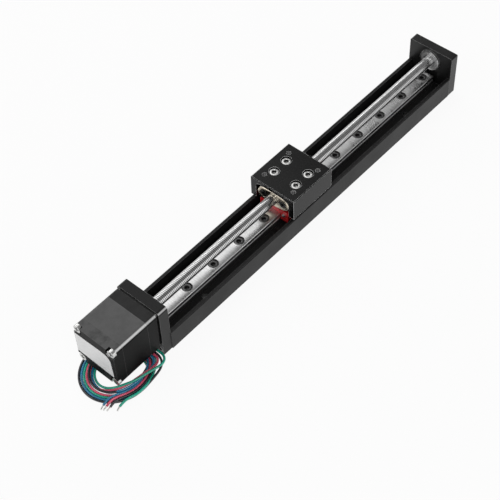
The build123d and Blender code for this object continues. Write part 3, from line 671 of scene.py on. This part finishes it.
def socket_screw_set(name, cad_node, spots, material, body):
    """M3 socket screws where the CAD has plain ones: rounded head edge, countersunk hexagon socket."""
    low, high = box_mm(cad_node)
    top = high[2]
    profile = socket_profile(top - low[2])
    hexagon = hexagon_reach()
    vertices, faces, is_wall = [], [], []
    for cx, cy in spots:
        rings = []
        for radius, z in profile:
            reach = hexagon if radius == HEXAGON else [radius] * SOCKET_AROUND
            rings.append([
                (cx + r * cosine, cy + r * sine, top + z)
                for r, (cosine, sine) in zip(reach, circle(SOCKET_AROUND))
            ])
        add_tube(vertices, faces, rings)
        for (radius, _), (next_radius, _) in zip(profile, profile[1:]):
            is_wall += [radius == HEXAGON and next_radius == HEXAGON] * SOCKET_AROUND
    piece = mesh_piece(name, vertices, faces, material, body, 22)
    # The socket walls take the painted shade; the socket's bottom keeps the screw's metal.
    piece.data.materials.append(socket_shade)
    for polygon in piece.data.polygons:
        if is_wall[polygon.index]:
            polygon.material_index = 1
    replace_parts(piece, cad_node)


def four_spots(spacing_x, spacing_y):
    """Four places round the middle of the carriage."""
    return [
        (CARRIAGE_X + side * spacing_x / 2, rise * spacing_y / 2) for side in (-1, 1) for rise in (-1, 1)
    ]


CARRIAGE_SCREW_SPACING = 10.0, 15.0
RAIL_PITCH = 20.0
RAIL_SCREWS = 12
rail_spots = [((index - (RAIL_SCREWS - 1) / 2) * RAIL_PITCH, 0.0) for index in range(RAIL_SCREWS)]
socket_screw_set(
    "carriage_socket_screws", "carriage_screws", four_spots(*CARRIAGE_SCREW_SPACING), bright_screw,
    "carriage",
)
socket_screw_set(
    "rail_socket_screws", "rail_screws", rail_spots, black_screw, "stage"
)


# Tapped holes
TAPPED_PITCH = 0.5
TAPPED_TURNS = 9


def tapped_holes():
    """Bare turns of thread in the four tapped holes of the carriage's table."""
    wall = TABLE_HOLES["hole_r_mm"] - 0.01
    crest = wall - 0.18
    mouth = CARRIAGE_TOP - 0.08
    profile = [(wall, 0.0), (wall, -0.15)]
    for turn in range(TAPPED_TURNS):
        z = -0.25 - TAPPED_PITCH * turn
        profile += [(crest, z), (crest, z - 0.08), (wall, z - 0.3)]
    vertices, faces = [], []
    around = 32
    # Each ring climbs by half a pitch on its way round
    climb = [TAPPED_PITCH * j / around / 2 - 0.375 for j in range(around)]
    for cx, cy in four_spots(TABLE_HOLES["spacing_x_mm"], TABLE_HOLES["spacing_y_mm"]):
        add_tube(vertices, faces, [
            [
                (cx + radius * cosine, cy + radius * sine, mouth + z + rise)
                for rise, (cosine, sine) in zip(climb, circle(around))
            ]
            for radius, z in profile
        ])
    # The thread's darkness is painted shade inside the holes.
    mesh_piece("tapped_threads", vertices, faces, shaded_bare_thread, "carriage", 20)


tapped_holes()


# Label
LABEL_THICKNESS = 0.12


def bare_label():
    """A thin bare foil plate on the motor's rear face, with one corner cut round."""
    outline = [
        (13.15, 13.5), (13.35, 13.7), (13.35, 27.4), (13.15, 27.6), (-5.4, 28.2), (-7.2, 28.05), (-8.8, 27.4),
        (-10.0, 26.3), (-10.7, 24.8), (-10.9, 23.2), (-11.5, 12.9), (-11.3, 12.6),
    ]
    corners = len(outline)
    vertices = [(MOTOR_REAR, y, z) for y, z in outline]
    vertices += [(MOTOR_REAR - LABEL_THICKNESS, y, z) for y, z in outline]
    faces = [tuple(range(corners)), tuple(range(2 * corners - 1, corners - 1, -1))]
    for i in range(corners):
        following = (i + 1) % corners
        faces.append((i, i + corners, following + corners, following))
    mesh_piece("bare_label", vertices, faces, label_foil(), "stage")


bare_label()


# Floor, in metres
FLOOR_REACH = 4.0
FLOOR_Z = -0.0002
FLOOR_WHITE_SHARE = 0.92


def floor_white():
    """White to the camera and in reflections, apart from a small share that keeps a faint shadow."""
    material, nodes, links, _ = new_material("floor_white")
    nodes.clear()
    diffuse = nodes.new("ShaderNodeBsdfDiffuse")
    diffuse.inputs["Color"].default_value = (0.86, 0.86, 0.86, 1.0)
    glow = nodes.new("ShaderNodeEmission")
    glow.inputs["Color"].default_value = (1.0, 1.0, 1.0, 1.0)
    glow.inputs["Strength"].default_value = 1.0
    ray = nodes.new("ShaderNodeLightPath").outputs
    seen = arithmetic(nodes, links, "MAXIMUM", ray["Is Camera Ray"], ray["Is Glossy Ray"])
    seen = arithmetic(nodes, links, "MAXIMUM", seen, ray["Is Transmission Ray"])
    mix = nodes.new("ShaderNodeMixShader")
    links.new(arithmetic(nodes, links, "MULTIPLY", seen, FLOOR_WHITE_SHARE), mix.inputs["Fac"])
    links.new(diffuse.outputs[0], mix.inputs[1])
    links.new(glow.outputs[0], mix.inputs[2])
    out = nodes.new("ShaderNodeOutputMaterial")
    links.new(mix.outputs[0], out.inputs["Surface"])
    return material


def floor():
    mesh = bpy.data.meshes.new("floor")
    corners = [(-1, -1), (1, -1), (1, 1), (-1, 1)]
    mesh.from_pydata([(x * FLOOR_REACH, y * FLOOR_REACH, FLOOR_Z) for x, y in corners], [], [(0, 1, 2, 3)])
    mesh.materials.append(floor_white())
    plane = new_object("floor", mesh)


floor()


# Light, in metres
def studio_world():
    """Pale towards the horizon and greyer above."""
    world = bpy.data.worlds.new("studio")
    bpy.context.scene.world = world
    world.use_nodes = True
    nodes, links = world.node_tree.nodes, world.node_tree.links
    nodes.clear()
    height = nodes.new("ShaderNodeSeparateXYZ")
    links.new(nodes.new("ShaderNodeTexCoord").outputs["Generated"], height.inputs[0])
    sky = nodes.new("ShaderNodeBackground")
    links.new(ramp(nodes, links, height.outputs["Z"], (0.16, 0.95), (0.50, 0.25)), sky.inputs["Color"])
    sky.inputs["Strength"].default_value = 1.0
    out = nodes.new("ShaderNodeOutputWorld")
    links.new(sky.outputs[0], out.inputs["Surface"])


def softbox(name, place, size, power):
    """A rectangular light that faces the slide."""
    data = bpy.data.lights.new(name, "AREA")
    data.shape = "RECTANGLE"
    data.size, data.size_y = size
    data.energy = power
    lamp = new_object(name, data)
    lamp.location = place
    lamp.rotation_euler = (-Vector(place)).to_track_quat("-Z", "Y").to_euler()


studio_world()
softbox("box_far", (0.30, 0.60, 1.05), (0.7, 0.9), 2.5)
softbox("box_side", (0.60, 0.98, 0.55), (1.2, 0.32), 3.0)
softbox("box_left", (-0.9, 0.7, 0.9), (0.9, 0.7), 3.0)
softbox("box_front", (0.10, -1.15, 0.42), (1.4, 0.5), 1.6)
softbox("box_key", (-0.5, -0.6, 1.3), (0.8, 0.8), 5.0)

scene = bpy.context.scene
scene.view_settings.view_transform = "Standard"
